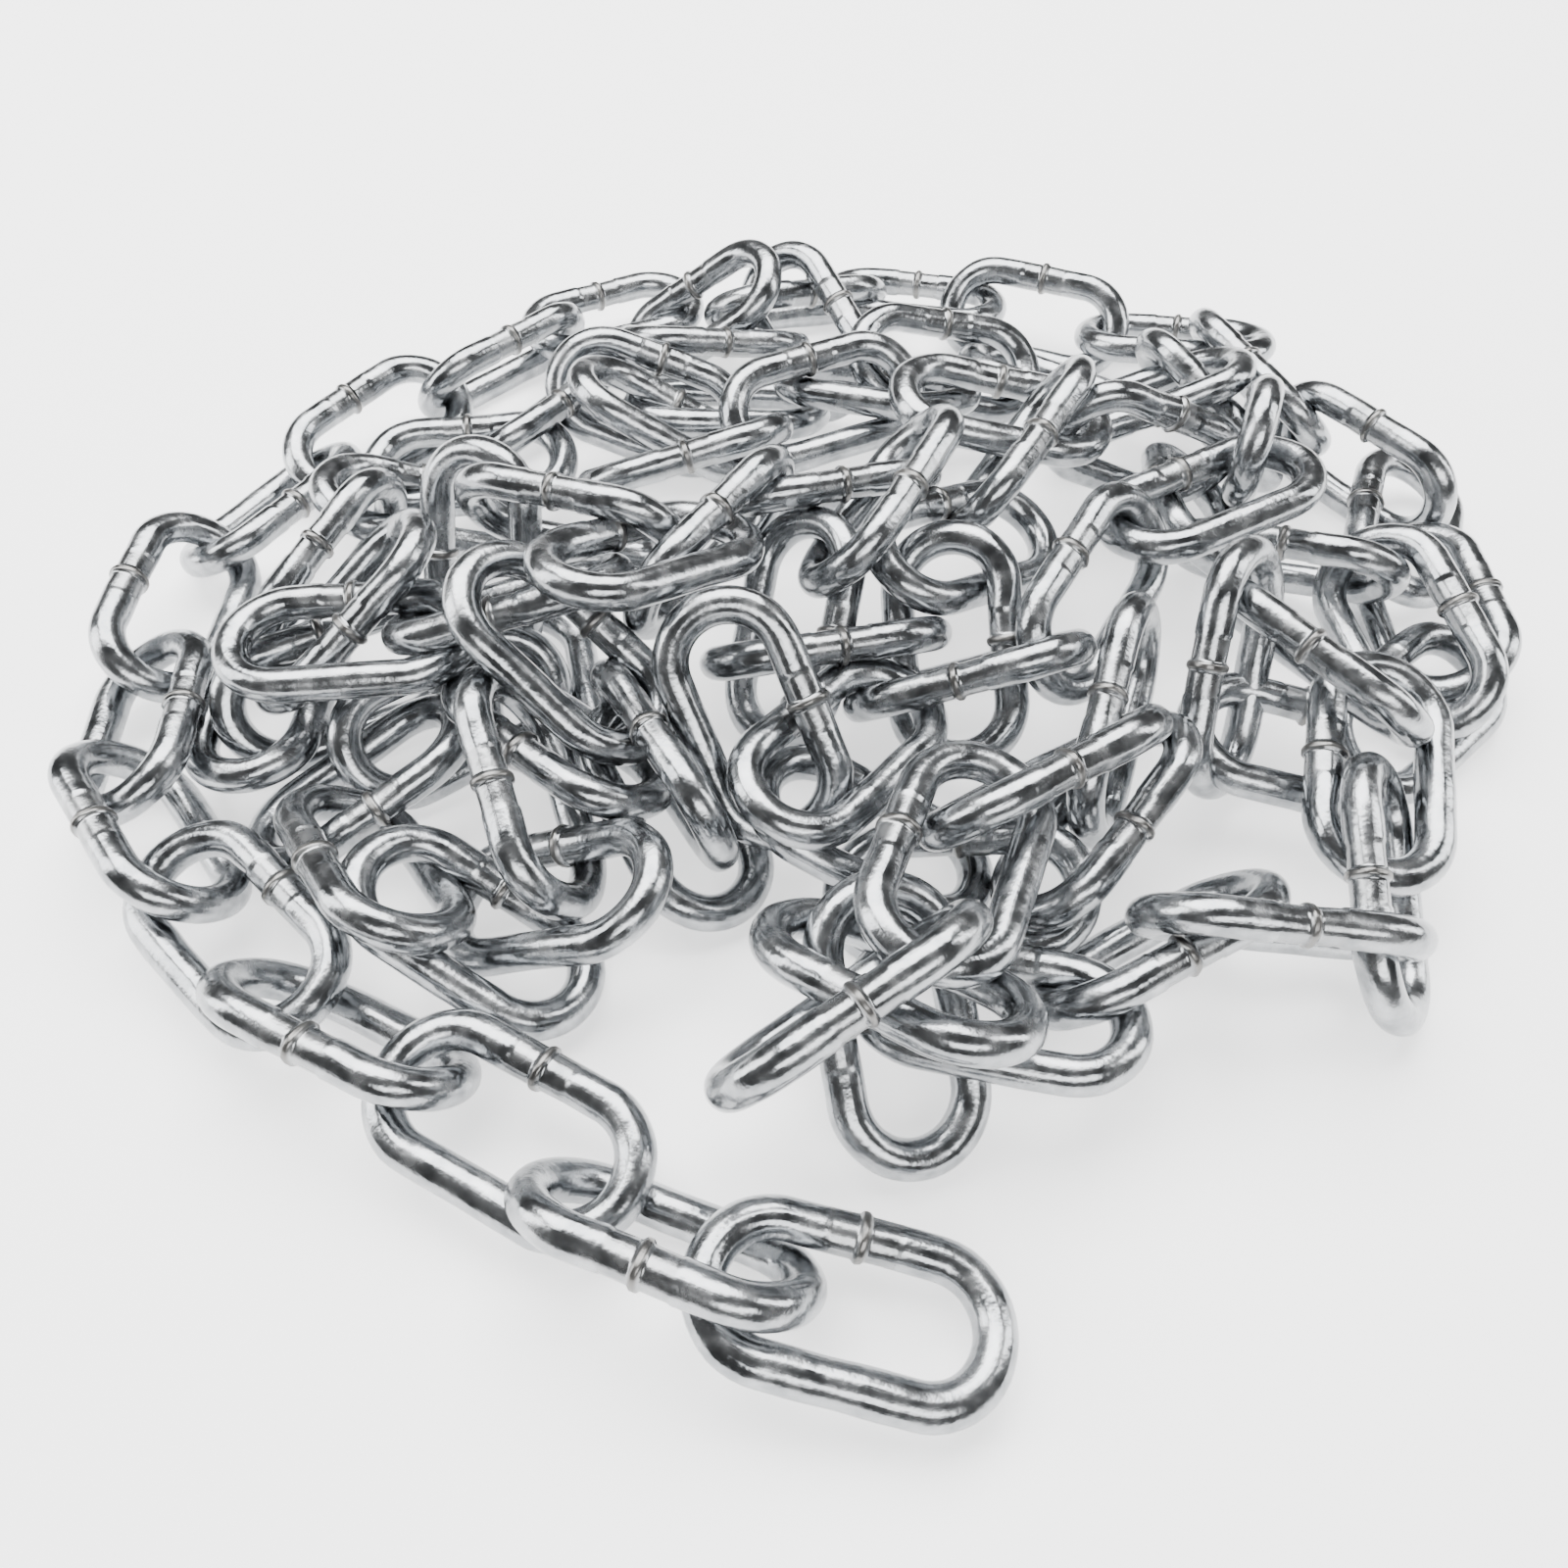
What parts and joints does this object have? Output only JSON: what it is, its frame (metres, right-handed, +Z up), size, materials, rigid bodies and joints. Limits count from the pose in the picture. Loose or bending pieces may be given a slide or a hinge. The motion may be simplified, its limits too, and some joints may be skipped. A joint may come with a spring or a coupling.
{
  "type": "heap of steel chain",
  "caption": "Loose heap of zinc-plated welded steel chain in oblong medium-length links, lying on the floor in low loops, with a free end link at the front and one cut link at its side",
  "frame": {"origin": "centre of the heap's outline on the floor, at the height of the lowest bar", "axes": "+Z up; front towards -Y, where the free end link lies; +X to the right seen from the front"},
  "size_m": [0.2202, 0.215, 0.0388],
  "materials": {
    "zinc_plate": "bright zinc plate, smooth and near mirror"
  },
  "bodies": {
    "root": {"chain_link_001": "zinc_plate", "chain_link_092": "zinc_plate", "chain_link_093": "zinc_plate", "chain_links_002_003": "zinc_plate", "chain_links_004_005": "zinc_plate", "chain_links_006_007": "zinc_plate", "chain_links_008_009": "zinc_plate", "chain_links_010_011": "zinc_plate", "chain_links_012_013": "zinc_plate", "chain_links_014_015": "zinc_plate", "chain_links_016_017": "zinc_plate", "chain_links_018_019": "zinc_plate", "chain_links_020_021": "zinc_plate", "chain_links_022_023": "zinc_plate", "chain_links_024_025": "zinc_plate", "chain_links_026_027": "zinc_plate", "chain_links_028_029": "zinc_plate", "chain_links_030_031": "zinc_plate", "chain_links_032_033": "zinc_plate", "chain_links_034_035": "zinc_plate", "chain_links_036_037": "zinc_plate", "chain_links_038_039": "zinc_plate", "chain_links_040_041": "zinc_plate", "chain_links_042_043": "zinc_plate", "chain_links_044_045": "zinc_plate", "chain_links_046_047": "zinc_plate", "chain_links_048_049": "zinc_plate", "chain_links_050_051": "zinc_plate", "chain_links_052_053": "zinc_plate", "chain_links_054_055": "zinc_plate", "chain_links_056_057": "zinc_plate", "chain_links_058_059": "zinc_plate", "chain_links_060_061": "zinc_plate", "chain_links_062_063": "zinc_plate", "chain_links_064_065": "zinc_plate", "chain_links_066_067": "zinc_plate", "chain_links_068_069": "zinc_plate", "chain_links_070_071": "zinc_plate", "chain_links_072_073": "zinc_plate", "chain_links_074_075": "zinc_plate", "chain_links_076_077": "zinc_plate", "chain_links_078_079": "zinc_plate", "chain_links_080_081": "zinc_plate", "chain_links_082_083": "zinc_plate", "chain_links_084_085": "zinc_plate", "chain_links_086_087": "zinc_plate", "chain_links_088_089": "zinc_plate", "chain_links_090_091": "zinc_plate"}
  },
  "joints": []
}
